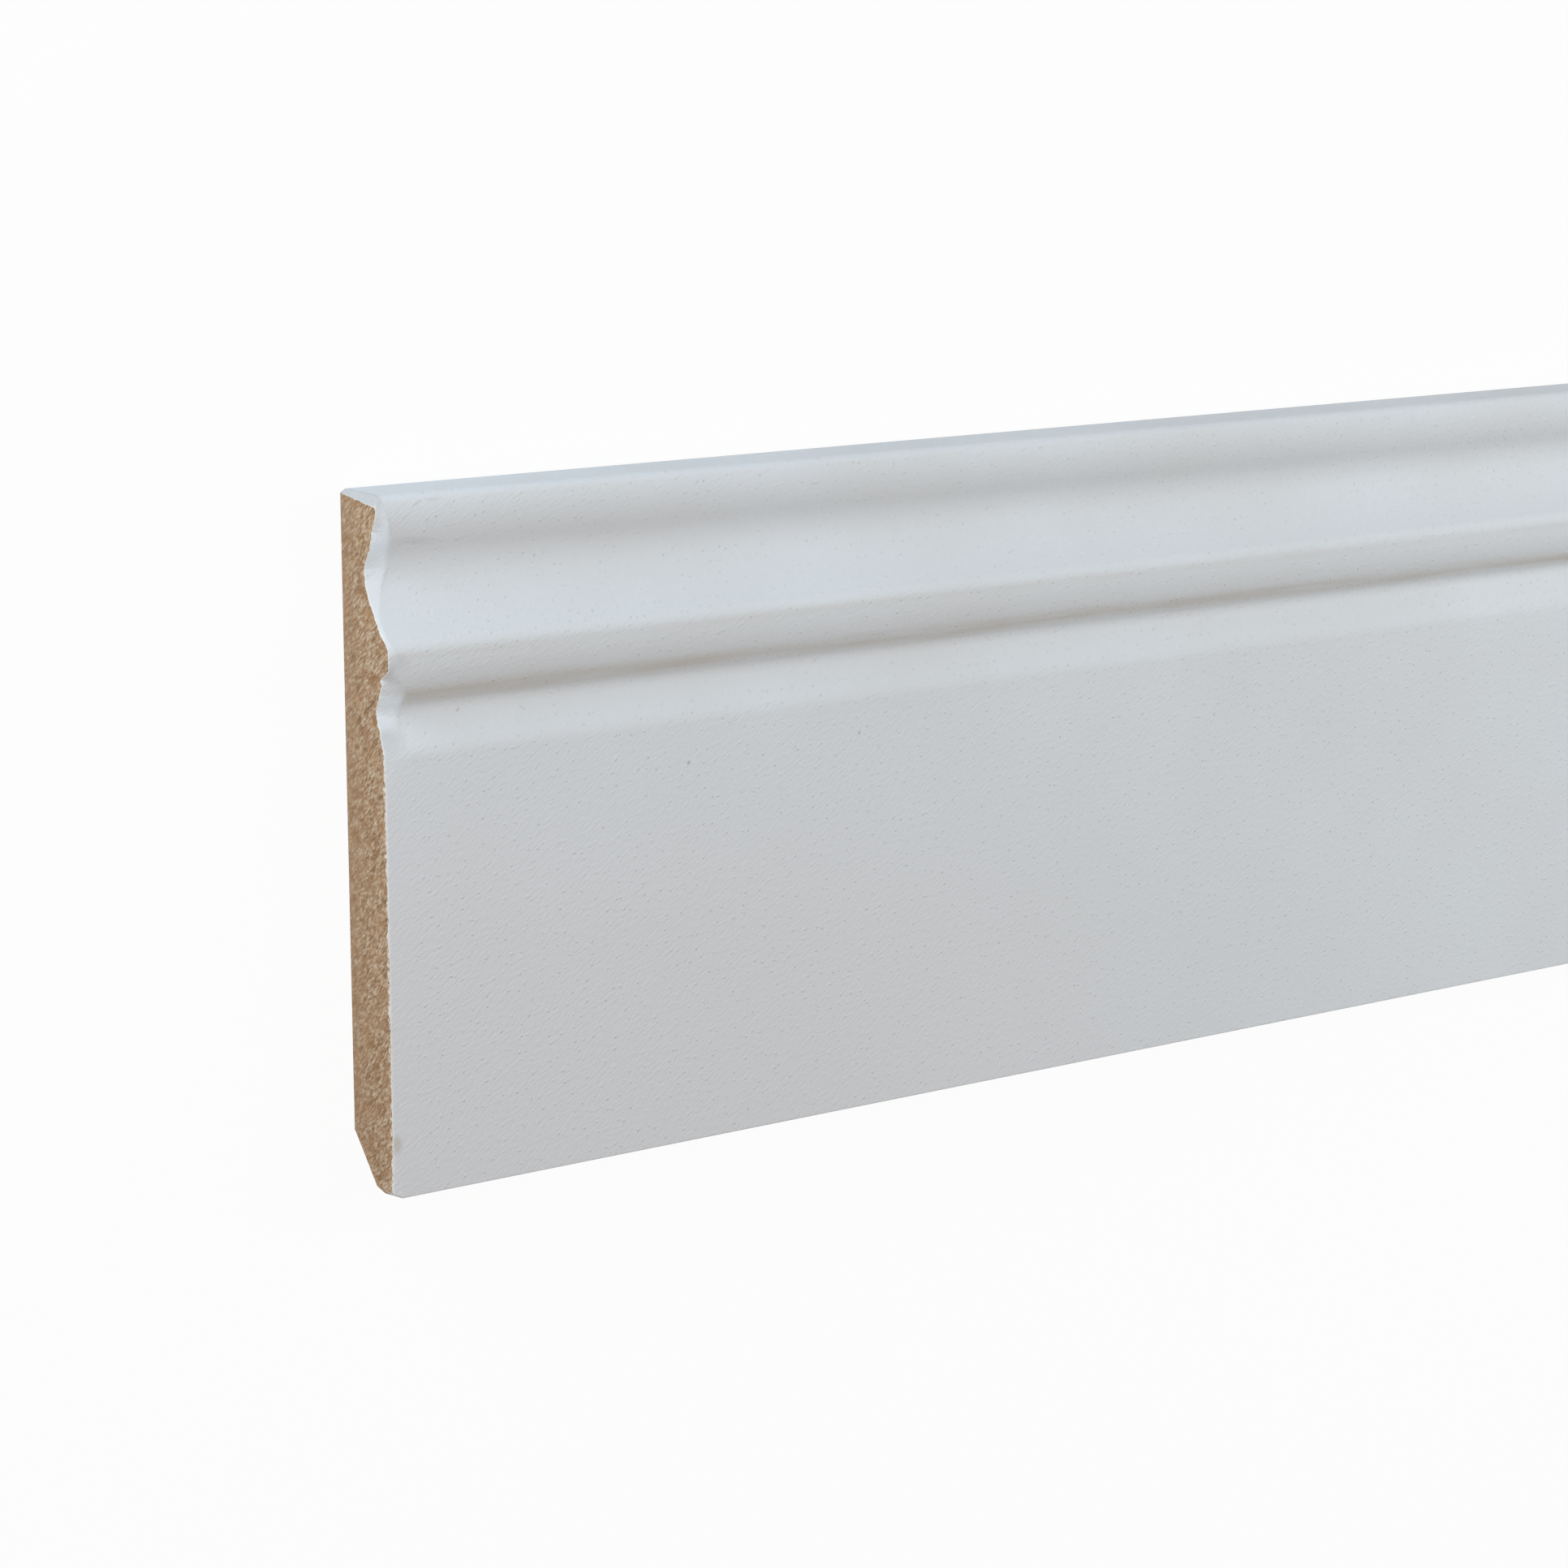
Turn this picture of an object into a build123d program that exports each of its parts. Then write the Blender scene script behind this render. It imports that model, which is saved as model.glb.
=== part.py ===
"""White-faced MDF skirting board with a moulded top edge: one length of stock, lying on its back."""

import os
from math import acos, cos, degrees, radians, sin

from build123d import *

# Stock size in mm. Length runs along X, the foot is towards -Y, and the back lies on the floor at Z 0.
board_length = 2400
board_height = 140
nose_thickness = 18  # from the back to the nose, the foremost line of the moulding

# How far the lines of the moulding lie behind one another
bead_setback = 4  # crest of the bead, behind the nose
cove_depth = 3.7  # hollow of the cove, behind the bead's crest
face_setback = 2.3  # plain face, behind the nose
groove_depth = 2.8  # bottom of the groove, behind the plain face

# Rounding of each crest and hollow, from the top edge down
top_arris_radius = 2
bead_radius = 11
cove_radius = 8.5
nose_radius = 4
nose_under_radius = 14.5
groove_radius = 2.6
shoulder_radius = 8

# Steepest lean of each flank away from the plain face, in degrees
bead_top_lean = 13  # where the bead leaves the top arris
bead_under_lean = 31.5  # below the bead, down into the cove
cove_lean = 20  # where the cove opens into the long ogee sweep
ogee_lean = 46.5  # at the end of the sweep, just above the nose
nose_under_lean = 40.5  # below the nose, down into the groove
shoulder_lean = 22  # from the groove out to the plain face

# Foot: a narrow flat, with the rear corner bevelled off to clear an uneven floor
foot_width = 6.2
foot_arris_radius = 0.8
bevel_height = 10.6
bevel_radius = 3

# Two arcs that meet with no straight between them use up the whole depth; a flank keeps this much less
largest_arc_share = 0.95

face_thickness = nose_thickness - face_setback
bead_thickness = nose_thickness - bead_setback


def fall(lean):
    """Depth that an arc of unit radius takes up as it turns from the plain face's direction to `lean`."""
    return 1 - cos(radians(lean))


def flank(depth, rounding, lean):
    """Lean and straight length of the flank from a crest to a hollow that lies `depth` behind it.

    The crest's and hollow's arcs, of radii that add up to `rounding`, each turn through the lean.
    They take up rounding * fall(lean) of the depth, and the straight takes the rest.
    """
    arcs_only = degrees(acos(max(1 - largest_arc_share * depth / rounding, 0)))
    lean = min(lean, arcs_only)
    straight = (depth - rounding * fall(lean)) / sin(radians(lean))
    return lean, straight


bead_lean, bead_run = flank(cove_depth, bead_radius + cove_radius, bead_under_lean)
nose_lean, nose_run = flank(face_setback + groove_depth, nose_under_radius + groove_radius, nose_under_lean)
face_lean, shoulder_run = flank(groove_depth, groove_radius + shoulder_radius, shoulder_lean)

# The ogee sweep goes on hollowing from the cove's lean to its own, and brings the nose to its thickness
cove_to_nose = bead_setback + cove_depth
sweep_depth = cove_to_nose - cove_radius * fall(cove_lean) - nose_radius * fall(ogee_lean)
sweep_radius = sweep_depth / (fall(ogee_lean) - fall(cove_lean))

# The flat top ends where the arris begins, so that the bead's crest comes to its thickness
top_width = bead_thickness - bead_radius + (bead_radius - top_arris_radius) * cos(radians(bead_top_lean))

foot = -board_height / 2
top = board_height / 2

with BuildPart() as skirting_board:
    with BuildSketch(Plane.YZ) as section:
        with BuildLine() as outline:
            top_face = PolarLine((top, 0), top_width, direction=(0, 1))
            top_arris = JernArc(top_face @ 1, top_face % 1, top_arris_radius, 90 - bead_top_lean)
            bead = JernArc(top_arris @ 1, top_arris % 1, bead_radius, bead_top_lean + bead_lean)
            bead_flank = PolarLine(bead @ 1, bead_run, direction=bead % 1)
            cove = JernArc(bead_flank @ 1, bead_flank % 1, cove_radius, -bead_lean - cove_lean)
            ogee = JernArc(cove @ 1, cove % 1, sweep_radius, cove_lean - ogee_lean)
            nose = JernArc(ogee @ 1, ogee % 1, nose_radius, ogee_lean)
            nose_underside = JernArc(nose @ 1, nose % 1, nose_under_radius, nose_lean)
            nose_flank = PolarLine(nose_underside @ 1, nose_run, direction=nose_underside % 1)
            groove = JernArc(nose_flank @ 1, nose_flank % 1, groove_radius, -nose_lean - face_lean)
            shoulder_flank = PolarLine(groove @ 1, shoulder_run, direction=groove % 1)
            shoulder = JernArc(shoulder_flank @ 1, shoulder_flank % 1, shoulder_radius, face_lean)
            FilletPolyline(
                shoulder @ 1,
                (foot, face_thickness),
                (foot, face_thickness - foot_width),
                (foot + bevel_height, 0),
                (top, 0),
                radius=[foot_arris_radius, bevel_radius, 0],
            )
        make_face()
    extrude(amount=board_length / 2, both=True)

skirting_board.part.label = "skirting_board"
os.makedirs("parts", exist_ok=True)
export_step(skirting_board.part, "parts/skirting_board.step")
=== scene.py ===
# %% [markdown]
# # A length of moulded skirting board
# A skirting board covers the joint between a wall and the floor. This one is a single length of MDF
# (medium-density fibreboard): a moulding is cut along its top edge, a thin white coat covers what shows
# in a room, and the sawn ends are bare, so the brown fibre shows there.
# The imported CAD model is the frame. Its box fixes the length, height and thickness. The lesson works in
# millimetres, with the height counted up from the foot and the depth forward from the back.

# %% Load the frame
import bpy
import numpy as np
from mathutils import Matrix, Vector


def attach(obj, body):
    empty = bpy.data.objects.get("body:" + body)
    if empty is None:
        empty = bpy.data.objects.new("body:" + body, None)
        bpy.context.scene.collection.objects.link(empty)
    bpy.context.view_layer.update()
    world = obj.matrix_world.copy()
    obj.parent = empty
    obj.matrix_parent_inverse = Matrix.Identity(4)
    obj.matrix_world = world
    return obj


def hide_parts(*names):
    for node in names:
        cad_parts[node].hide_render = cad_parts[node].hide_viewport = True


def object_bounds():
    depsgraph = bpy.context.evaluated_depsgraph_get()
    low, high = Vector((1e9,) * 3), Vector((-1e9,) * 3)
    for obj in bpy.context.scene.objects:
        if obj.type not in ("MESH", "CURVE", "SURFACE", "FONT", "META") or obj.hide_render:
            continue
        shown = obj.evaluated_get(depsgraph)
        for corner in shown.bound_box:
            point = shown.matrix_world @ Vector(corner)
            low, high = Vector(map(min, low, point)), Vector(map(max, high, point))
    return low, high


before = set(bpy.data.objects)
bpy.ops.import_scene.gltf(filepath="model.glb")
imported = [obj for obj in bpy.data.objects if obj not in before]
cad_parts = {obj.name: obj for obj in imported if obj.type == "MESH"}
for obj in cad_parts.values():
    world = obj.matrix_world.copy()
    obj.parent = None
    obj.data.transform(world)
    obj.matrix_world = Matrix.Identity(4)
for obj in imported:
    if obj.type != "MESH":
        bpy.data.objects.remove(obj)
cad_low, cad_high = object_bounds()
MM = 0.001
board_length, board_height, nose_thickness = (np.array(cad_high) - np.array(cad_low)) / MM
print(f"board {board_length:.1f} x {board_height:.1f} x {nose_thickness:.2f} mm")

# %% [markdown]
# ## The moulded section
# Moulding cutters are ground as arcs and straights that run into each other without a corner. A curve
# drawn through points would wobble, so the outline is walked instead: each run says how long it is and
# how far the surface leans where it begins and ends. A lean of 90 degrees faces up, 0 faces the room,
# -90 faces down. An arc changes its lean evenly, a straight keeps it, and adding up the small steps
# gives the outline.

# %% Sizes of the moulding
bead_setback, cove_depth = 4.0, 3.7  # bead's crest behind the nose, cove behind the bead's crest
face_setback, groove_depth = 2.3, 2.8  # plain face behind the nose, groove behind the plain face
top_arris_radius, bead_radius, cove_radius = 2.0, 11.0, 8.5
nose_radius, nose_under_radius = 4.0, 14.5
groove_radius, shoulder_radius = 2.6, 8.0
bead_top_lean, bead_under_lean, cove_lean = 13.0, 31.5, 20.0
ogee_lean, nose_under_lean, shoulder_lean = 46.5, 40.5, 22.0
foot_width, foot_arris_radius = 6.2, 0.35
bevel_height, bevel_radius = 10.6, 3.0
face_thickness = nose_thickness - face_setback
bead_thickness = nose_thickness - bead_setback
print(f"bead {bead_thickness:.1f} mm, plain face {face_thickness:.1f} mm from the back")


# %% Runs of the outline
def fall(lean):
    """Depth that an arc of radius 1 takes up as it turns from upright to a lean: one less its cosine."""
    return 1 - np.cos(np.radians(lean))


def straight(depth, rounding, lean):
    """A straight run: the depth that the arcs at its two ends leave, over the sine of the lean."""
    return (depth - rounding * fall(abs(lean))) / np.sin(np.radians(abs(lean))), lean, lean


def arc(radius, lean_from, lean_to):
    """A rounded run: its length is the radius times the angle that it turns through."""
    return radius * np.radians(abs(lean_to - lean_from)), lean_from, lean_to


top_width = bead_thickness - bead_radius + (bead_radius - top_arris_radius) * (1 - fall(bead_top_lean))
sweep_depth = bead_setback + cove_depth - cove_radius * fall(cove_lean) - nose_radius * fall(ogee_lean)
sweep_radius = sweep_depth / (fall(ogee_lean) - fall(cove_lean))
moulding = [
    (top_width, 90, 90),
    arc(top_arris_radius, 90, bead_top_lean),
    arc(bead_radius, bead_top_lean, -bead_under_lean),
    straight(cove_depth, bead_radius + cove_radius, -bead_under_lean),
    arc(cove_radius, -bead_under_lean, cove_lean),
    arc(sweep_radius, cove_lean, ogee_lean),
    arc(nose_radius, ogee_lean, 0),
    arc(nose_under_radius, 0, -nose_under_lean),
    straight(face_setback + groove_depth, nose_under_radius + groove_radius, -nose_under_lean),
    arc(groove_radius, -nose_under_lean, shoulder_lean),
    straight(groove_depth, groove_radius + shoulder_radius, shoulder_lean),
    arc(shoulder_radius, shoulder_lean, 0),
]
print(f"{len(moulding)} runs, the ogee sweeps at a radius of {sweep_radius:.1f} mm")


# %% Walk the outline
def walk(runs, step=0.01):
    """Distance walked, height, depth and lean all along an outline that starts at the top rear corner.

    Within a run the lean goes evenly from its first value to its last. For each millimetre walked the
    outline drops by the cosine of the lean and comes forward by its sine, and the running sums of the
    two are the height lost and the depth gained.
    """
    length, lean_from, lean_to = np.array(runs, float).T
    ends = np.concatenate([[0], np.cumsum(length)])
    distance = np.linspace(0, ends[-1], int(ends[-1] / step) + 1)
    run = np.clip(np.searchsorted(ends, distance, "right") - 1, 0, len(length) - 1)
    lean = lean_from[run] + (lean_to - lean_from)[run] * (distance - ends[run]) / length[run]
    middle = np.radians((lean[1:] + lean[:-1]) / 2)
    stride = np.diff(distance)
    height = board_height - np.concatenate([[0], np.cumsum(np.cos(middle) * stride)])
    depth = np.concatenate([[0], np.cumsum(np.sin(middle) * stride)])
    return distance, height, depth, lean


bevel_turn = np.degrees(np.arctan2(bevel_height, face_thickness - foot_width))
bevel_cut = bevel_radius * np.tan(np.radians(bevel_turn / 2))
plain_height = walk(moulding)[1][-1]
foot = [
    (plain_height - foot_arris_radius, 0, 0),
    arc(foot_arris_radius, 0, -90),
    (foot_width - foot_arris_radius - bevel_cut, -90, -90),
    arc(bevel_radius, -90, -90 - bevel_turn),
    (np.hypot(bevel_height, face_thickness - foot_width) - bevel_cut, -90 - bevel_turn, -90 - bevel_turn),
]
distance, height, depth, lean = walk(moulding + foot)
print(f"bevel meets the back at height {height[-1]:.2f} mm, depth {depth[-1]:.2f} mm")

# %% Face and back as depths at a height
foot_at = np.argmin(height)
on_face = (distance >= top_width) & (np.arange(len(distance)) <= foot_at)
on_bevel = np.flatnonzero(lean < -90)


def face_at(level):
    """Depth of the moulded face at a height, read off the walked outline."""
    return np.interp(level, height[on_face][::-1], depth[on_face][::-1])


def back_at(level):
    """Depth of the rear at a height: the bevel near the foot, and nought above it."""
    return np.interp(level, height[on_bevel], depth[on_bevel])


cad_points = np.array([v.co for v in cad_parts["skirting_board"].data.vertices]) / MM
cad_points = cad_points - np.array(cad_low) / MM
forward, off_the_arrises = 10.5, 3.0  # mm: corners that lie on the face, away from the top and the foot
from_mid_height = np.abs(cad_points[:, 1] - board_height / 2)
cad_face = cad_points[(cad_points[:, 2] > forward) & (from_mid_height < board_height / 2 - off_the_arrises)]
cad_gap = np.abs(face_at(cad_face[:, 1]) - cad_face[:, 2])
print(f"CAD corners lie within {cad_gap.max():.3f} mm of the walked face")

# %% [markdown]
# ## Rows and columns
# The board is one closed surface: two sawn ends, each a grid of rows down the height and columns through
# the thickness, joined by the outline carried along the length. Even rows would leave the tight curves
# angular, so rows are set closer wherever the outline turns quickly.

# %% Rows down the face, columns through the thickness
longest_row, sharpest_row = 0.36, 6.0  # mm, degrees


def spread_rows(along, turning):
    """Places for the rows, so that none is longer or turns more than the limits above.

    Each small step counts as its length over the longest row, or as its turn over the sharpest,
    whichever is more. Rows stand where the running count passes whole numbers.
    """
    steps = np.maximum(np.diff(along) / longest_row, np.abs(np.diff(turning)) / sharpest_row)
    count = np.concatenate([[0], np.cumsum(steps)])
    return np.interp(np.linspace(0, count[-1], int(np.ceil(count[-1])) + 1), count, along)


row_distance = spread_rows(distance[on_face], lean[on_face])
row_height = np.interp(row_distance, distance, height)
row_face = np.interp(row_distance, distance, depth)
columns = np.linspace(0, 1, 51)  # share of the way from the rear to the face
n_rows, n_cols = len(row_height), len(columns)
print(f"{n_rows} rows, {n_cols} columns")

# %% The way round the edge of the grid
top_edge = np.stack([np.zeros(n_cols - 1, int), np.arange(n_cols - 1)])
face_edge = np.stack([np.arange(n_rows - 1), np.full(n_rows - 1, n_cols - 1)])
foot_edge = np.stack([np.full(n_cols - 1, n_rows - 1), np.arange(n_cols - 1, 0, -1)])
back_edge = np.stack([np.arange(n_rows - 1, 0, -1), np.zeros(n_rows - 1, int)])
edge_rows, edge_cols = np.concatenate([top_edge, face_edge, foot_edge, back_edge], axis=1)
n_edge = len(edge_rows)
full_height = row_height[:, None] + 0 * columns
full_depth = back_at(row_height)[:, None] * (1 - columns) + row_face[:, None] * columns
outline = np.stack([full_height[edge_rows, edge_cols], full_depth[edge_rows, edge_cols]], axis=1)
print(f"{n_edge} points round the section")

# %% [markdown]
# ## The sawn ends
# A saw leaves the end of an MDF board slightly rounded over: the coat chips back at the edge, the top
# front corner is dubbed off, and the foot loses about a millimetre. So the cut outline is the section
# drawn in by a small amount that differs from place to place, and the surface eases from it to the full
# section over the first few millimetres of length. A bevel modifier would give every edge the same
# round and no raggedness.

# %% How much each place is eased
# the crests and the hollows lie where the lean changes its sign
bead_height, cove_height, nose_height, groove_height = (
    height[on_face][np.flatnonzero(np.diff(np.sign(lean[on_face] + 1e-6)))[:4]]
)
# height, how far the cut edge lies behind the face, and how far the easing runs along the board (mm)
face_easing = np.array(
    [
        (0, 0.3, 2.6),
        (5, 0.2, 1.4),
        (12, 0.05, 0.7),
        (plain_height - 6, 0.05, 0.7),
        (plain_height, 0.2, 4.5),
        (groove_height - 5, 0.5, 5.6),
        (groove_height - 3, 0.1, 5.6),
        (groove_height, 0.4, 5.8),
        (groove_height + 2, 0.6, 5.8),
        (groove_height + 4, 1.5, 5.6),
        (nose_height - 6, 1.7, 4.4),
        (nose_height - 5, 2.5, 3.6),
        (nose_height - 4, 1.0, 3.0),
        (nose_height - 3, 0.2, 2.6),
        (nose_height, 0.1, 2.4),
        (nose_height + 3, 1.0, 0.8),
        (nose_height + 7, 0.7, 0.9),
        (cove_height - 5, 1.0, 2.4),
        (cove_height + 1, 1.3, 5.2),
        (cove_height + 4, 0.6, 4.8),
        (bead_height - 3, 1.2, 4.0),
        (bead_height - 0.5, 0.5, 3.4),
        (bead_height + 1.5, 0.1, 2.6),
        (board_height, 0.1, 1.0),
    ]
)
print(f"bead {bead_height:.1f}, cove {cove_height:.1f} mm up")
print(f"nose {nose_height:.1f}, groove {groove_height:.1f} mm up")


# %% Ragged lines
def ragged(places, spacing, seed):
    """A random line through -1 to 1: random values every `spacing` mm, joined by straights."""
    values = np.random.default_rng(seed).uniform(-1, 1, int(board_height / spacing) + 8)
    return np.interp(places, np.arange(len(values)) * spacing, values)


top_way, foot_way = 14, 6  # mm from the rear to the face along the top and the foot
top_drop_rear, top_drop_more, foot_lift, shift_reach = 0.7, 1.5, 1.25, 9  # mm
rear_in, bevel_in, least_behind = 0.15, 0.3, 0.04  # mm that the cut lies inside the full section


def cut_outline(seed):
    """Height and depth of every point of a sawn end's grid.

    The top row comes down by more at the front than at the rear, the foot comes up, and both shifts
    fade out as the square of the way to a line some millimetres off. At its new height each row then
    runs from the rear, drawn in a little, to the face, drawn in by the easing and a ragged chip line.
    """
    top_drop = top_drop_rear + top_drop_more * columns + 0.06 * ragged(columns * top_way, 1.2, seed)
    foot_rise = foot_lift + 0.1 * ragged(columns * foot_way, 0.9, seed + 1)
    near_top = np.clip((row_height - board_height + shift_reach) / shift_reach, 0, 1)[:, None] ** 2
    near_foot = np.clip((shift_reach - row_height) / shift_reach, 0, 1)[:, None] ** 2
    level = row_height[:, None] - top_drop * near_top + foot_rise * near_foot
    behind = np.interp(row_height, face_easing[:, 0], face_easing[:, 1])
    chips = ragged(row_height, 1.6, seed + 2) + ragged(row_height, 0.6, seed + 3)
    behind = behind + (0.04 + 0.03 * behind) * chips
    front = face_at(level[:, -1]) - np.maximum(behind, least_behind)
    drawn_in = rear_in + bevel_in * (row_height < bevel_height)
    rear = back_at(level[:, 0]) + drawn_in + 0.02 * ragged(row_height, 0.7, seed + 4)
    return level, rear[:, None] * (1 - columns) + front[:, None] * columns


left_level, left_depth = cut_outline(seed=11)
right_level, right_depth = cut_outline(seed=57)
print(f"left cut edge between heights {left_level.min():.2f} and {left_level.max():.2f} mm")


# %% [markdown]
# ## Fibre relief
# MDF is fibre pressed with resin, and a saw tears it into short pits and tufts that lie along the stroke
# of the blade. The relief is real geometry, cut inwards from the flat end so that the board keeps its
# length. Blurring random numbers along one direction in the frequency plane gives it for the whole end
# at once.

# %% Torn fibre
stroke_tilt = 40.0  # degrees that the saw's stroke climbs towards the face
relief_grid, sheet_margin = 0.2, 5.0  # mm
sheet_rows, sheet_columns = 800, 160  # 160 mm up and 32 mm out, which covers the end and its margins
mean_tear, tear_spread, deepest_tear = 0.13, 0.05, 0.3  # mm
straight_rear = 0.12  # share of the thickness over which the relief grows


def torn_fibre(seed, along, across):
    """A sheet of random relief that is drawn out along the stroke, with mean 0 and spread 1.

    Every wave of a sheet of random numbers is weakened by the exponential of minus twice pi squared
    times the sum of two squares: its frequency along the stroke times `along`, and across it times
    `across`.
    """
    sheet = np.random.default_rng(seed).standard_normal((sheet_rows, sheet_columns))
    up = np.fft.fftfreq(sheet.shape[0], relief_grid)[:, None]
    out = np.fft.fftfreq(sheet.shape[1], relief_grid)[None, :]
    tilt = np.radians(stroke_tilt)
    with_stroke = out * np.cos(tilt) + up * np.sin(tilt)
    over_stroke = up * np.cos(tilt) - out * np.sin(tilt)
    keep = np.exp(-2 * np.pi**2 * ((with_stroke * along) ** 2 + (over_stroke * across) ** 2))
    sheet = np.fft.ifft2(np.fft.fft2(sheet) * keep).real
    return (sheet - sheet.mean()) / sheet.std()


def read_sheet(sheet, level, out):
    """Value of a sheet at any height and depth, mixed from the four grid points around it."""
    row, col = (level + sheet_margin) / relief_grid, (out + sheet_margin) / relief_grid
    r, c = row.astype(int), col.astype(int)
    a, b = row - r, col - c
    upper = sheet[r, c] * (1 - b) + sheet[r, c + 1] * b
    lower = sheet[r + 1, c] * (1 - b) + sheet[r + 1, c + 1] * b
    return upper * (1 - a) + lower * a


def fibre_depth(seed, level, out):
    """How far each point of the end is torn in (mm): a mean depth and the sheet's relief.

    The relief grows from nought at the rear edge, which the blade leaves straight.
    """
    relief = read_sheet(torn_fibre(seed, 0.8, 0.3), level, out) * np.clip(columns / straight_rear, 0, 1)
    return np.clip(mean_tear + tear_spread * relief, 0, deepest_tear)


left_fibre = fibre_depth(3, left_level, left_depth)
right_fibre = fibre_depth(8, right_level, right_depth)
print(f"fibre torn in by {left_fibre.mean():.3f} mm on average, {left_fibre.max():.2f} mm at most")

# %% [markdown]
# ## One closed surface
# The outline is carried along the length on a line of stations. They crowd together at the ends, where
# a narrow chamfer eases the arris, and stand wider apart between. The rim of each sawn grid is the first
# and the last station, so nothing has to be merged and no seam is open.

# %% Stations along the length
ease = np.linspace(0, 1, 15)[1:]  # share of the easing's run, from the cut to the full section
chamfer_end, lip_fade = 0.8, 0.35  # shares of the run: where the chamfer ends, how long the lip fades
cut_share = np.clip(1 - ease / chamfer_end, 0, 1)  # how much of the cut edge's shape is left
lap_share = np.clip((1 - ease) / lip_fade, 0, 1)
lap_share = lap_share**2 * (3 - 2 * lap_share)  # how much of the lip of coat is left
half_stations = np.array([9, 20, 50, 120, 300, 600, 900, board_length / 2])  # mm from either end
stations = np.concatenate([half_stations, board_length - half_stations[-2::-1]])
face_run = np.interp(row_height, face_easing[:, 0], face_easing[:, 2])
rear_levels = [0, bevel_height, 20, board_height - 6, board_height]
rear_run = np.interp(row_height, rear_levels, [1.2, 0.8, 0.6, 0.6, 1.6])
edge_run = np.concatenate(
    [
        np.linspace(rear_run[0], face_run[0], n_cols)[:-1],
        face_run[:-1],
        np.linspace(face_run[-1], rear_run[-1], n_cols)[:-1],
        rear_run[:0:-1],
    ]
)
print(f"{len(stations)} stations, and {len(ease)} more across each eased arris")


# %% [markdown]
# ## Lip of coat
# The coat gathers beside the cut. It half fills the hollows under the bead and the nose there, so the dark
# lines of the moulding begin a few millimetres in, with rounded starts, and there the undersides of the
# bead and the groove are painted paler, a painted light for the light that reaches them from the end. A
# separate strip of mesh would show a seam, so the same surface is swollen a little instead.

# %% Lip of coat beside the cut
def swell(level, middle, reach):
    """A smooth rise to 1 at the middle and back.

    It is the exponential of minus half the square of the way off the middle over the reach.
    """
    return np.exp(-0.5 * ((level - middle) / reach) ** 2)


def down_the_face(values):
    """Values at the rows of the face, set in the way round the section; nought on its other sides."""
    around = np.zeros(n_edge)
    around[n_cols - 1 : n_cols + n_rows - 2] = values[:-1]
    return around


bead_lip, cove_lip, groove_lip = 0.6, 0.4, 0.9  # mm
lip = bead_lip * swell(row_height, bead_height - 3, 2.5)
lip = lip + cove_lip * swell(row_height, cove_height, 3)
lip = lip + groove_lip * swell(row_height, groove_height + 1, 2.5)
edge_fill = down_the_face(lip)
# painted light: a paler colour on the undersides of the bead and the groove beside the cut
pale = swell(row_height, bead_height - 6, 2.8) + swell(row_height, groove_height + 2.2, 1.2)
edge_painted_light = down_the_face(pale)
print(f"the lip of coat is up to {lip.max():.2f} mm thick")


# %% Points of the ends and of the eased arrises
def eased_arris(level, out, fibre):
    """Distance from the end, height and depth of the rings between a sawn end's rim and the full section.

    Ring by ring the distance grows evenly to the run of the easing. The full section gets its share of
    the built-up coat and of the way in to the rim. The rim's raggedness is the rim less its own running
    mean, and only the first rings keep it, because its share falls with the fourth power.
    """
    inwards = np.stack([level[edge_rows, edge_cols], out[edge_rows, edge_cols]], axis=1) - outline
    calm = np.mean([np.roll(inwards, step, axis=0) for step in range(-4, 5)], axis=0)
    cut = cut_share[:, None, None]
    coat_share = (lap_share * (1 - cut_share))[:, None, None]
    section = outline + coat_share * np.stack([0 * edge_fill, edge_fill], axis=1)
    section = section + cut * calm + cut**4 * (inwards - calm)
    torn = fibre[edge_rows, edge_cols] * (1 - ease)[:, None]
    return np.concatenate([(torn + edge_run * ease[:, None])[..., None], section], axis=2)


def from_the_left(points):
    """Distance from the left end, height and depth in mm, to the frame's X, Y and Z in metres."""
    return points.reshape(-1, 3) * MM + np.array(cad_low)


left_end = np.stack([left_fibre, left_level, left_depth], axis=2)
right_end = np.stack([board_length - right_fibre, right_level, right_depth], axis=2)
left_arris = eased_arris(left_level, left_depth, left_fibre)
right_arris = eased_arris(right_level, right_depth, right_fibre)[::-1]
right_arris[..., 0] = board_length - right_arris[..., 0]
middle = np.empty((len(stations), n_edge, 3))
middle[..., 0] = stations[:, None]
middle[..., 1:] = outline
rings = np.concatenate([left_arris, middle, right_arris])
points = np.concatenate([from_the_left(part) for part in (left_end, right_end, rings)])
print(f"{len(points)} points, {len(rings)} rings")

# %% Faces
grid = np.arange(n_rows * n_cols).reshape(n_rows, n_cols)
ring_points = 2 * grid.size + np.arange(len(rings) * n_edge).reshape(len(rings), n_edge)
lines = np.concatenate(
    [grid[None, edge_rows, edge_cols], ring_points, grid[None, edge_rows, edge_cols] + grid.size]
)
following = np.roll(lines, -1, axis=1)
long_faces = np.stack([lines[:-1], following[:-1], following[1:], lines[1:]], axis=2).reshape(-1, 4)
end_faces = np.stack([grid[:-1, :-1], grid[:-1, 1:], grid[1:, 1:], grid[1:, :-1]], axis=2).reshape(-1, 4)
faces = np.concatenate([end_faces[:, ::-1], end_faces + grid.size, long_faces])
print(f"{len(faces)} four-sided faces")

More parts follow.
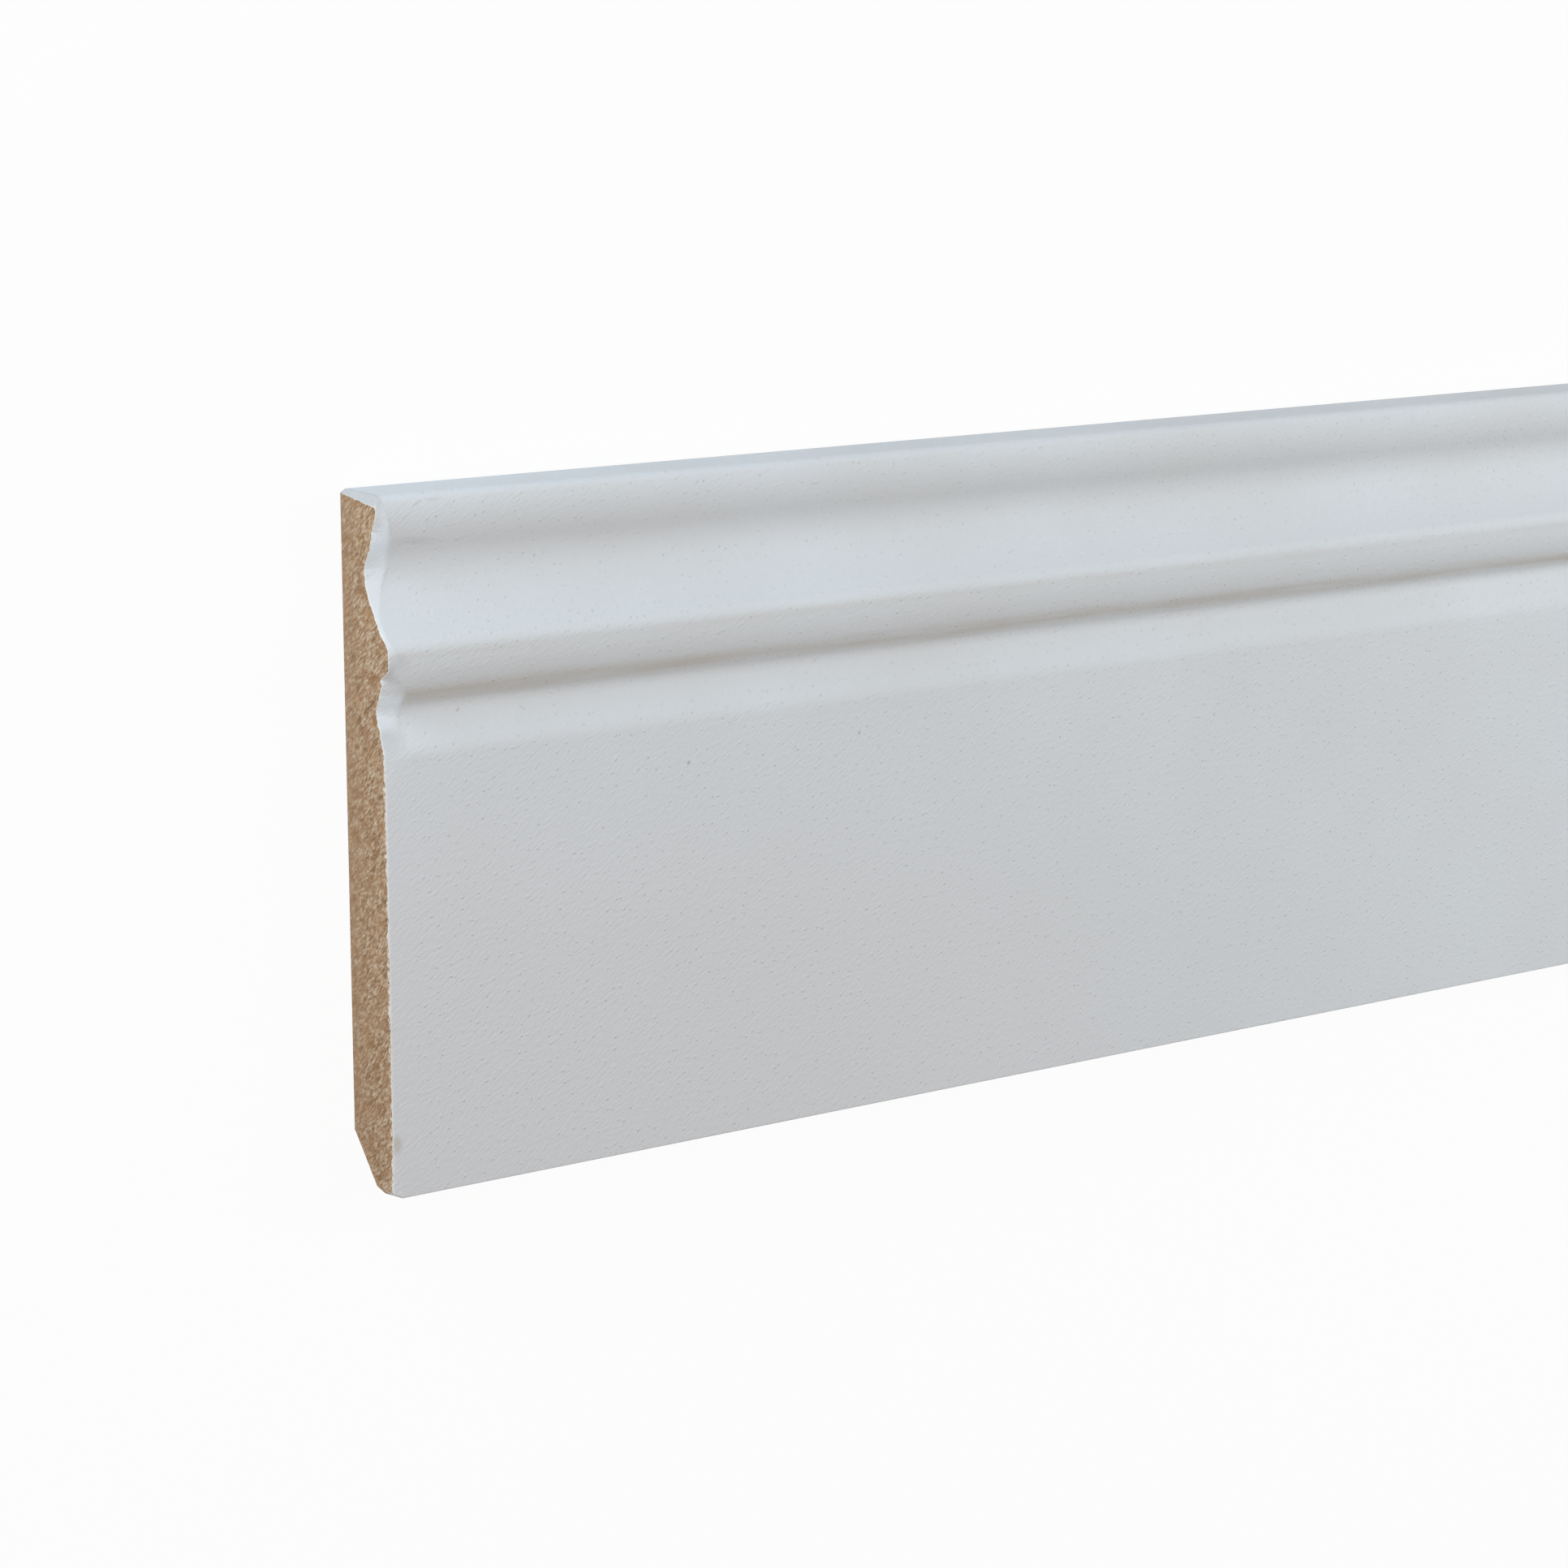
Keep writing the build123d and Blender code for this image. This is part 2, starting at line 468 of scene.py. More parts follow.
# %% Into a mesh
sharp_over = 38  # degrees between two faces, past which their edge is drawn sharp
mesh = bpy.data.meshes.new("moulded_board")
mesh.vertices.add(len(points))
mesh.vertices.foreach_set("co", points.astype(np.float32).ravel())
mesh.loops.add(faces.size)
mesh.loops.foreach_set("vertex_index", faces.ravel())
mesh.polygons.add(len(faces))
mesh.polygons.foreach_set("loop_start", np.arange(0, faces.size, 4))
mesh.update(calc_edges=True)
mesh.polygons.foreach_set("use_smooth", np.ones(len(faces), bool))
mesh.set_sharp_from_angle(angle=np.radians(sharp_over))
mesh.validate(verbose=True)
moulded_board = bpy.data.objects.new("moulded_board", mesh)
bpy.context.scene.collection.objects.link(moulded_board)
print(f"{moulded_board.name}: {len(mesh.polygons)} faces, {len(mesh.edges)} edges")

# %% [markdown]
# ## What the finishes need to know
# Three finishes meet on the board: the white coat on the top and the face, which laps onto the foot, the
# sawn end, and the plain pressed back with the milled bevel. Each face gets the number of its finish.
# Five values stored at the points let the finishes follow the shape: how near a point is to the cut edge,
# how deep the fibre is torn, where shade is painted down the groove with a darker line under the nose,
# where light is painted beside the cut, and how far round the section the point lies.

# %% Finish of each face, and values at the points
lapped = 30  # columns of the foot that the coat laps onto
is_coated = np.arange(n_edge) < n_cols - 1 + n_rows - 1 + lapped
long_finish = np.where(is_coated, 0, 2)[None, :].repeat(len(lines) - 1, axis=0)
finish = np.concatenate([np.ones(2 * len(end_faces), int), long_finish.ravel()])
mesh.polygons.foreach_set("material_index", finish)


top_weight, moulding_weight = 2.5, 3  # the coat is cut off cleaner at the top and beside the moulding


def to_the_coat(level, out):
    """Distance (mm) from each point of a sawn end to the coated edge: the way to the face or to the top.

    The lesser of the two counts. The way to the top is weighted, and so are both beside the moulding.
    """
    cleaner = np.interp(level, [plain_height, plain_height + 6], [1, moulding_weight])
    return (cleaner * np.minimum(out[:, -1:] - out, top_weight * (level[:1] - level))).ravel()


from_the_cut = np.minimum(rings[..., 0], board_length - rings[..., 0])
from_the_cut[:, : n_cols - 1] *= 4  # the top keeps its coat nearer to the cut
end_to_coat = to_the_coat(left_level, left_depth), to_the_coat(right_level, right_depth)
arris_mm = np.concatenate([*end_to_coat, from_the_cut.ravel()])
torn_in = np.concatenate([left_fibre.ravel(), right_fibre.ravel(), np.zeros(ring_points.size)])
# painted shade down in the groove under the nose, and a darker line just below the nose's crest
groove_painted_shade = swell(outline[:, 0], groove_height + 3.6, 1.2)
nose_dark_line = 0.3 * swell(outline[:, 0], nose_height - 0.4, 0.7)
# the painted shade fades out beside the cut, where the lip of coat half fills the hollow
unfilled_share = np.concatenate([1 - lap_share, 0 * stations + 1, (1 - lap_share)[::-1]])
groove_shade_nose_line = np.concatenate([np.zeros(2 * grid.size), np.outer(unfilled_share, groove_painted_shade + nose_dark_line).ravel()])
way_round = np.concatenate([[0], np.cumsum(np.hypot(*np.diff(outline, axis=0, append=outline[:1]).T))])
round_m = np.concatenate([np.zeros(2 * grid.size), np.tile(way_round[:-1] * MM, len(rings))])
# the painted light is strongest at the cut and gone where the lip of coat ends
light_share_by_cut = np.concatenate([lap_share**2, 0 * stations, lap_share[::-1] ** 2])
thick_coat = np.concatenate([np.zeros(2 * grid.size), np.outer(light_share_by_cut, edge_painted_light).ravel()])
stored = {
    "arris_mm": arris_mm,
    "torn_in": torn_in,
    "groove_shade_nose_line": groove_shade_nose_line,
    "thick_coat": thick_coat,
    "round_m": round_m,
}
for name, values in stored.items():
    mesh.attributes.new(name, "FLOAT", "POINT").data.foreach_set("value", values.astype(np.float32))
print(f"finish 0, 1, 2 on {np.bincount(finish)} faces")

# %% [markdown]
# ## A map for baked textures
# When the board goes to another program its finishes are baked into one square picture. An automatic
# unwrap would share that picture out by area, and a sawn end would get a few dozen pixels. This map lays
# both ends along the top of the square, where a picture 1024 pixels wide gives them about seven pixels to
# the millimetre, and folds the long sides once, at half the length, to fill the rest.

# %% Bake map
margin, map_width = 0.01, 0.98
end_band, left_foot, right_foot = 0.11, 0.88, 0.76  # height of an end's strip, and where each strip starts
side_band, side_step = 0.36, 0.37  # height of each half of the long sides, and the step between them
end_u = margin + map_width * full_height / board_height
end_v = end_band * full_depth / nose_thickness
left_map = np.stack([end_u, left_foot + end_v], axis=2).reshape(-1, 2)[end_faces[:, ::-1]]
right_map = np.stack([end_u, right_foot + end_v], axis=2).reshape(-1, 2)[end_faces]
ring_way = way_round / way_round[-1]
ring_x = np.concatenate([[0], rings[..., 0].mean(axis=1), [board_length]])
second_half = np.arange(len(ring_x) - 1) >= np.argmin(np.abs(ring_x - board_length / 2))
fold = np.stack([ring_x[:-1], ring_x[:-1], ring_x[1:], ring_x[1:]], axis=1)
fold = (fold - second_half[:, None] * board_length / 2) / (board_length / 2)
around = np.stack([ring_way[:-1], ring_way[1:], ring_way[1:], ring_way[:-1]], axis=1)
side_u = margin + map_width * np.broadcast_to(fold[:, None, :], (len(fold), n_edge, 4))
side_v = margin + side_band * around[None] + side_step * second_half[:, None, None]
side_map = np.stack([side_u, side_v], axis=3).reshape(-1, 4, 2)
bake_map = np.concatenate([left_map, right_map, side_map]).astype(np.float32)
mesh.uv_layers.new(name="OFBake").data.foreach_set("uv", bake_map.ravel())
print(f"map from {bake_map.min():.2f} to {bake_map.max():.2f}")


# %% [markdown]
# ## Colours and nodes
# Colours are written as sRGB hex values, as a paint chart gives them, and Blender's shaders want linear
# light, so one function turns one into the other. One more adds a node with its settings and links.

# %% Helpers for materials
def linear(hex_colour):
    """sRGB hex to linear red, green, blue, alpha: the standard curve, straight below 0.04045."""
    value = np.array([int(hex_colour[i : i + 2], 16) for i in (1, 3, 5)]) / 255
    value = np.where(value <= 0.04045, value / 12.92, ((value + 0.055) / 1.055) ** 2.4)
    return (*value.tolist(), 1.0)


def add(tree, kind, settings=None, **inputs):
    """Adds a node. Settings are its own properties; inputs are sockets to link from, or plain values."""
    node = tree.nodes.new(kind)
    for name, value in (settings or {}).items():
        setattr(node, name, value)
    for name, value in inputs.items():
        socket = next(s for s in node.inputs if name in (s.identifier, s.name.replace(" ", "_")))
        if isinstance(value, bpy.types.NodeSocket):
            tree.links.new(value, socket)
        else:
            socket.default_value = value
    return node


def new_material(name):
    """An empty node material, its node tree and its object coordinates in metres."""
    material = bpy.data.materials.new(name)
    material.use_nodes = True
    tree = material.node_tree
    tree.nodes.clear()
    place = add(tree, "ShaderNodeTexCoord").outputs["Object"]
    return material, tree, place


print("white", [round(v, 3) for v in linear("#FFFFFF")])

# %% [markdown]
# ## White coat
# The face is MDF with a factory-sprayed white primer, a satin film with a faint blue cast. The wet primer
# raises the fibre in short slanting strokes, and dust dries into it as nibs under a millimetre across.
# Shade is painted down the groove below the nose, with a darker line just under the nose's crest, and there
# are a few small marks, some painted shade under the bead, darker patches beside the cut, and one faint
# broad painted tint for the warmer light on the lower face near the left end. At the sawn edge the film is
# chipped and paler, partly the torn film and partly a painted highlight where the edge catches the light.
# All this is too small to model, so it is bump and colour.

# %% Satin white primer
white_primer, tree, place = new_material("satin_white_primer_on_mdf")
peel_long, peel_wide, nib_spacing = 1.6 * MM, 0.6 * MM, 2.6 * MM
peel_turn = 35  # degrees that the strokes climb along the board
cloud_size, shade_noise_long, shade_noise_high = 35 * MM, 45 * MM, 3 * MM
peel_place = add(
    tree, "ShaderNodeMapping", {"vector_type": "TEXTURE"}, Vector=place,
    Rotation=(0, 0, np.radians(peel_turn)), Scale=(peel_long, peel_wide, peel_wide),
)
peel = add(tree, "ShaderNodeTexNoise", Vector=peel_place.outputs[0], Scale=1.0, Detail=2.0, Roughness=0.55)
cloud_place = add(
    tree, "ShaderNodeMapping", {"vector_type": "TEXTURE"}, Vector=place, Scale=(cloud_size,) * 3,
)
cloud = add(tree, "ShaderNodeTexNoise", Vector=cloud_place.outputs[0], Scale=1.0, Detail=3.0, Roughness=0.5)
clouded = add(
    tree, "ShaderNodeMix", {"data_type": "RGBA"}, Factor_Float=cloud.outputs["Fac"],
    A_Color=linear("#DBE0E5"), B_Color=linear("#D6D8DA"),
)
shade_noise_place = add(
    tree, "ShaderNodeMapping", {"vector_type": "TEXTURE"}, Vector=place,
    Scale=(shade_noise_long, shade_noise_high, shade_noise_high),
)
shade_noise = add(tree, "ShaderNodeTexNoise", Vector=shade_noise_place.outputs[0], Scale=1.0, Detail=3.0, Roughness=0.6)
# painted shade: a brownish grey mixed in down the groove and along the nose line, its strength varied by a
# slow noise
groove_shade_nose_line = add(tree, "ShaderNodeAttribute", {"attribute_name": "groove_shade_nose_line"})
shade_strength = add(
    tree, "ShaderNodeMapRange", Value=shade_noise.outputs["Fac"], From_Min=0.3, From_Max=0.7,
    To_Min=0.15, To_Max=0.65,
)
shade_share = add(
    tree, "ShaderNodeMath", {"operation": "MULTIPLY"}, Value=groove_shade_nose_line.outputs["Fac"],
    Value_001=shade_strength.outputs[0],
)
shaded_coat = add(
    tree, "ShaderNodeMix", {"data_type": "RGBA"}, Factor_Float=shade_share.outputs[0],
    A_Color=clouded.outputs[2], B_Color=linear("#BDB4A6"),
)
print(f"peel {peel_long / MM} x {peel_wide / MM} mm, clouds {cloud_size / MM} mm")

# %% Marks, stains, painted shade and a painted tint on the coat
warm_light_tint, scuffs_and_shade, smudge = "#D7D8DB", "#8F8A82", "#B3A996"
# distance from the left end, height, half length and half width (mm), turn (degrees), share, colour
marks = [
    # a painted tint: the lower face near the left end is made warmer and slightly darker, where warmer
    # light falls
    (0, 20, 270, 75, 0, 0.9, warm_light_tint),
    (18.1, 96.5, 0.7, 0.3, 35, 0.4, scuffs_and_shade),
    (70.6, 80.2, 0.6, 0.4, 40, 0.6, scuffs_and_shade),
    (113.6, 81.6, 0.6, 0.4, 60, 0.5, scuffs_and_shade),
    (9.3, 138.0, 1.6, 0.35, 26, 0.18, scuffs_and_shade),
    (12.8, 138.6, 2.2, 0.4, 1, 0.15, scuffs_and_shade),
    # painted shade under the bead, near the left end
    (9.2, 130.7, 6.0, 1.1, -3, 0.1, scuffs_and_shade),
    # these two make the face darker beside the cut, on the shoulder and on the nose
    (1.5, 92.0, 4.5, 3.2, 0, 0.2, scuffs_and_shade),
    (1.5, 108.0, 4.0, 2.2, 0, 0.15, scuffs_and_shade),
    (0.6, 139.2, 1.6, 2.2, 0, 0.3, scuffs_and_shade),
    (0.9, 11.3, 1.7, 2.4, 0, 0.45, smudge),
]
coat_colour = shaded_coat
for along, up, half_long, half_wide, turn, share, colour in marks:
    spot = np.array(cad_low) + np.array([along, up, 0]) * MM
    mark_place = add(
        tree, "ShaderNodeMapping", {"vector_type": "TEXTURE"}, Vector=place, Location=spot.tolist(),
        Rotation=(0, 0, np.radians(turn)), Scale=(half_long * MM, half_wide * MM, 1.0),
    )
    mark = add(tree, "ShaderNodeTexGradient", {"gradient_type": "SPHERICAL"}, Vector=mark_place.outputs[0])
    marked = add(
        tree, "ShaderNodeMapRange", Value=mark.outputs["Fac"], From_Min=0.0, From_Max=0.6, To_Min=0.0,
        To_Max=share,
    )
    coat_colour = add(
        tree, "ShaderNodeMix", {"data_type": "RGBA"}, Factor_Float=marked.outputs[0],
        A_Color=coat_colour.outputs[2], B_Color=linear(colour),
    )
# painted light: beside the cut, the undersides of the bead and the groove are made paler
thick = add(tree, "ShaderNodeAttribute", {"attribute_name": "thick_coat"})
coat_colour = add(
    tree, "ShaderNodeMix", {"data_type": "RGBA"}, Factor_Float=thick.outputs["Fac"],
    A_Color=coat_colour.outputs[2], B_Color=linear("#E8F1F9"),
)
print(f"{len(marks)} marks")

# %% Chipped edge with a painted highlight, gloss and peel of the coat
arris = add(tree, "ShaderNodeAttribute", {"attribute_name": "arris_mm"})
# paler within half a millimetre of the cut: partly the torn film, partly a painted highlight where the edge
# catches the light
chip = add(
    tree, "ShaderNodeMapRange", Value=arris.outputs["Fac"], From_Min=0.1, From_Max=0.5,
    To_Min=0.75, To_Max=0.0,
)
chipped_and_highlit_edge = add(
    tree, "ShaderNodeMix", {"data_type": "RGBA"}, Factor_Float=chip.outputs[0],
    A_Color=coat_colour.outputs[2], B_Color=linear("#F1EFEA"),
)
gloss = add(
    tree, "ShaderNodeMapRange", Value=cloud.outputs["Fac"], From_Min=0.3, From_Max=0.7,
    To_Min=0.56, To_Max=0.66,
)
along_board = add(tree, "ShaderNodeSeparateXYZ", Vector=place)
round_section = add(tree, "ShaderNodeAttribute", {"attribute_name": "round_m"})
unrolled = add(tree, "ShaderNodeCombineXYZ", X=along_board.outputs["X"], Y=round_section.outputs["Fac"])
nib_place = add(
    tree, "ShaderNodeMapping", {"vector_type": "TEXTURE"}, Vector=unrolled.outputs[0],
    Scale=(nib_spacing,) * 3,
)
nib_cell = add(
    tree, "ShaderNodeTexVoronoi", {"voronoi_dimensions": "2D"}, Vector=nib_place.outputs[0], Scale=1.0,
)
nib = add(
    tree, "ShaderNodeMapRange", {"interpolation_type": "SMOOTHSTEP"}, Value=nib_cell.outputs["Distance"],
    From_Min=0.02, From_Max=0.16, To_Min=1.1, To_Max=0.0,
)
uneven = add(
    tree, "ShaderNodeMath", {"operation": "MULTIPLY"}, Value=nib.outputs[0],
    Value_001=nib_cell.outputs["Color"],
)
off_the_cut = add(tree, "ShaderNodeMapRange", Value=arris.outputs["Fac"], From_Min=4.0, From_Max=7.0)
uneven_nib = add(
    tree, "ShaderNodeMath", {"operation": "MULTIPLY"}, Value=uneven.outputs[0],
    Value_001=off_the_cut.outputs[0],
)
coat_height = add(
    tree, "ShaderNodeMath", {"operation": "ADD"}, Value=peel.outputs["Fac"],
    Value_001=uneven_nib.outputs[0],
)
coat_bump = add(tree, "ShaderNodeBump", Height=coat_height.outputs[0], Strength=1.0, Distance=0.14 * MM)
coat = add(
    tree, "ShaderNodeBsdfPrincipled", Base_Color=chipped_and_highlit_edge.outputs[2], Roughness=gloss.outputs[0],
    Normal=coat_bump.outputs[0], IOR=1.5, Specular_IOR_Level=0.25,
)
add(tree, "ShaderNodeOutputMaterial", Surface=coat.outputs[0])
print(f"{white_primer.name}: {len(tree.nodes)} nodes")

# %% [markdown]
# ## Sawn fibreboard
# Raw MDF is tan wood fibre in resin, matt all over. The saw leaves pale torn tufts and pits in short
# strokes that lean with the blade. The colour is painted darker where the modelled relief is torn deeper,
# as shade in its pits, and lighter where it stands proud, and it follows a finer noise that is drawn out
# along the same stroke. A slow tint keeps it from looking printed, the rear of the cut is smoother, and
# specks of torn coat cling to the arris of the plain face.

# %% Sawn MDF
sawn_mdf, tree, place = new_material("sawn_raw_mdf")
tuft_long, tuft_wide = 1.3 * MM, 0.4 * MM  # twice as coarse as the real tufts, so that they show
tint_size, fleck_size = 4 * MM, 0.9 * MM
stroke = (np.radians(90 - stroke_tilt), 0, 0)
tuft_place = add(
    tree, "ShaderNodeMapping", {"vector_type": "TEXTURE"}, Vector=place, Rotation=stroke,
    Scale=(tuft_wide, tuft_long, tuft_wide),
)
tufts = add(tree, "ShaderNodeTexNoise", Vector=tuft_place.outputs[0], Scale=1.0, Detail=2.0, Roughness=0.5)
torn = add(tree, "ShaderNodeAttribute", {"attribute_name": "torn_in"})
# painted shade and light: the deeper the fibre is torn, the darker the colour, and the shallower, the
# lighter
pit_shade_and_tuft_light = add(
    tree, "ShaderNodeMapRange", Value=torn.outputs["Fac"], From_Min=0.03, From_Max=0.23,
    To_Min=0.08, To_Max=-0.08,
)
tone = add(
    tree, "ShaderNodeMath", {"operation": "ADD"}, Value=tufts.outputs["Fac"],
    Value_001=pit_shade_and_tuft_light.outputs[0],
)
ramp = add(tree, "ShaderNodeValToRGB", Fac=tone.outputs[0])
ramp.color_ramp.elements[0].position, ramp.color_ramp.elements[0].color = 0.29, linear("#826445")
ramp.color_ramp.elements[1].position, ramp.color_ramp.elements[1].color = 0.78, linear("#D8CAB7")
for position, tan in ((0.43, "#9E7F61"), (0.5, "#A98D70"), (0.59, "#BAA287")):
    ramp.color_ramp.elements.new(position).color = linear(tan)
print(f"tufts {tuft_long / MM} x {tuft_wide / MM} mm")

# %% Tint, torn coat and relief of the sawn end
tint_place = add(
    tree, "ShaderNodeMapping", {"vector_type": "TEXTURE"}, Vector=place, Scale=(tint_size,) * 3,
)
tint = add(tree, "ShaderNodeTexNoise", Vector=tint_place.outputs[0], Scale=1.0, Detail=2.0, Roughness=0.5)
tinted = add(
    tree, "ShaderNodeMapRange", Value=tint.outputs["Fac"], From_Min=0.45, From_Max=0.75,
    To_Min=0.0, To_Max=0.5,
)
warmed = add(
    tree, "ShaderNodeMix", {"data_type": "RGBA"}, Factor_Float=tinted.outputs[0],
    A_Color=ramp.outputs["Color"], B_Color=linear("#AB8156"),
)
depth_in = add(tree, "ShaderNodeSeparateXYZ", Vector=place)
rear = add(
    tree, "ShaderNodeMapRange", Value=depth_in.outputs["Z"], From_Min=2.5 * MM, From_Max=7.5 * MM,
    To_Min=0.35, To_Max=0.0,
)
smoothed = add(
    tree, "ShaderNodeMix", {"data_type": "RGBA"}, Factor_Float=rear.outputs[0],
    A_Color=warmed.outputs[2], B_Color=linear("#AB8D70"),
)
fleck_place = add(
    tree, "ShaderNodeMapping", {"vector_type": "TEXTURE"}, Vector=place, Scale=(fleck_size,) * 3,
)
flecks = add(
    tree, "ShaderNodeTexNoise", Vector=fleck_place.outputs[0], Scale=1.0, Detail=2.0, Roughness=0.6,
)
arris = add(tree, "ShaderNodeAttribute", {"attribute_name": "arris_mm"})
reach = add(
    tree, "ShaderNodeMapRange", Value=arris.outputs["Fac"], From_Min=0.0, From_Max=1.6,
    To_Min=0.08, To_Max=-0.36,
)
torn_coat = add(
    tree, "ShaderNodeMath", {"operation": "ADD"}, Value=flecks.outputs["Fac"], Value_001=reach.outputs[0],
)
coat_left = add(
    tree, "ShaderNodeMapRange", Value=torn_coat.outputs[0], From_Min=0.42, From_Max=0.58,
    To_Min=0.0, To_Max=0.85,
)
end_colour = add(
    tree, "ShaderNodeMix", {"data_type": "RGBA"}, Factor_Float=coat_left.outputs[0],
    A_Color=smoothed.outputs[2], B_Color=linear("#EFEAE1"),
)
tuft_bump = add(tree, "ShaderNodeBump", Height=tufts.outputs["Fac"], Strength=1.0, Distance=0.12 * MM)
end_surface = add(
    tree, "ShaderNodeBsdfPrincipled", Base_Color=end_colour.outputs[2], Roughness=0.88,
    Normal=tuft_bump.outputs[0], IOR=1.45,
)
add(tree, "ShaderNodeOutputMaterial", Surface=end_surface.outputs[0])
print(f"{sawn_mdf.name}: {len(tree.nodes)} nodes")

# %% [markdown]
# ## Pressed and milled fibreboard
# The back is the pressed and sanded face of the sheet, and the bevel and the rear of the foot are milled.
# They are smoother and more even than a sawn edge: fine fibre flecks in a warm tan, with faint sanding
# lines along the board.

# %% Pressed MDF
pressed_mdf, tree, place = new_material("pressed_raw_mdf")
fleck_size, sanding_long, sanding_wide = 0.9 * MM, 60 * MM, 1.2 * MM
fleck_place = add(
    tree, "ShaderNodeMapping", {"vector_type": "TEXTURE"}, Vector=place, Scale=(fleck_size,) * 3,
)
flecks = add(
    tree, "ShaderNodeTexNoise", Vector=fleck_place.outputs[0], Scale=1.0, Detail=3.0, Roughness=0.6,
)
sanding_place = add(
    tree, "ShaderNodeMapping", {"vector_type": "TEXTURE"}, Vector=place,
    Scale=(sanding_long, sanding_wide, sanding_wide),
)
sanding = add(
    tree, "ShaderNodeTexNoise", Vector=sanding_place.outputs[0], Scale=1.0, Detail=2.0, Roughness=0.5,
)
fibre_tone = add(
    tree, "ShaderNodeMix", {"data_type": "FLOAT"}, Factor_Float=0.35, A_Float=flecks.outputs["Fac"],
    B_Float=sanding.outputs["Fac"],
)
ramp = add(tree, "ShaderNodeValToRGB", Fac=fibre_tone.outputs[0])
ramp.color_ramp.elements[0].position, ramp.color_ramp.elements[0].color = 0.32, linear("#9A7B5C")
ramp.color_ramp.elements[1].position, ramp.color_ramp.elements[1].color = 0.68, linear("#BFA283")
sanded = add(tree, "ShaderNodeBump", Height=fibre_tone.outputs[0], Strength=1.0, Distance=0.03 * MM)
back_surface = add(
    tree, "ShaderNodeBsdfPrincipled", Base_Color=ramp.outputs["Color"], Roughness=0.72,
    Normal=sanded.outputs[0], IOR=1.45,
)
add(tree, "ShaderNodeOutputMaterial", Surface=back_surface.outputs[0])
print(f"{pressed_mdf.name}: {len(tree.nodes)} nodes")

# %% Finishes onto the board, board into the frame
for finish_material in (white_primer, sawn_mdf, pressed_mdf):
    mesh.materials.append(finish_material)
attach(moulded_board, "root")
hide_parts("skirting_board")
print([m.name for m in mesh.materials])

# %% [markdown]
# ## Floor, light and camera
# The board lies on its back on a pale floor, and the camera looks down on it with the moulded edge
# uppermost. The floor is white to the camera and takes a soft shadow. At each end a low lamp beyond the
# moulded edge lights the sawn end and the slopes that lean that way, and a higher one fills. A long strip
# over the face evens out the middle, and a pale sky does the rest, all at a level at which a colour comes
# out about as written.

# %% Rays that see the background
def seen_directly(tree):
    """A value of 1 for a ray from the camera, off a gloss or through glass: the largest of the three."""
    ray = add(tree, "ShaderNodeLightPath").outputs
    largest = ray["Is Camera Ray"]
    for kind in ("Is Glossy Ray", "Is Transmission Ray"):
        largest = add(
            tree, "ShaderNodeMath", {"operation": "MAXIMUM"}, Value=largest, Value_001=ray[kind],
        ).outputs[0]
    return largest


print("camera, glossy and transmission rays see white")

# %% Pale floor
floor_half, floor_drop = 40.0, 0.0003  # metres
white_share = 0.95  # the rest of what a ray sees is lit, so that the shadow shows
floor_mesh = bpy.data.meshes.new("floor")
corners = np.array([(-1, -1, 0), (1, -1, 0), (1, 1, 0), (-1, 1, 0)]) * floor_half - (0, 0, floor_drop)
floor_mesh.from_pydata(corners.tolist(), [], [(0, 1, 2, 3)])
floor = bpy.data.objects.new("floor", floor_mesh)
bpy.context.scene.collection.objects.link(floor)
floor_paint, tree, _ = new_material("pale_floor")
seen = seen_directly(tree)
share = add(tree, "ShaderNodeMath", {"operation": "MULTIPLY"}, Value=seen, Value_001=white_share)
matt = add(tree, "ShaderNodeBsdfDiffuse", Color=linear("#E6E6E6"))
white = add(tree, "ShaderNodeEmission", Color=linear("#FFFFFF"), Strength=1.0)
both = add(
    tree, "ShaderNodeMixShader", Fac=share.outputs[0], Shader=matt.outputs[0], Shader_001=white.outputs[0],
)
add(tree, "ShaderNodeOutputMaterial", Surface=both.outputs[0])
floor_mesh.materials.append(floor_paint)
print("floor", 2 * floor_half, "m")

# %% Sky
world = bpy.data.worlds.new("pale_sky")
world.use_nodes = True
bpy.context.scene.world = world
tree = world.node_tree
tree.nodes.clear()
seen = seen_directly(tree)
light = add(tree, "ShaderNodeBackground", Color=linear("#FFF9F6"), Strength=0.21)
white = add(tree, "ShaderNodeBackground", Color=linear("#FFFFFF"), Strength=1.0)
both = add(tree, "ShaderNodeMixShader", Fac=seen, Shader=light.outputs[0], Shader_001=white.outputs[0])
add(tree, "ShaderNodeOutputWorld", Surface=both.outputs[0])
print(world.name)


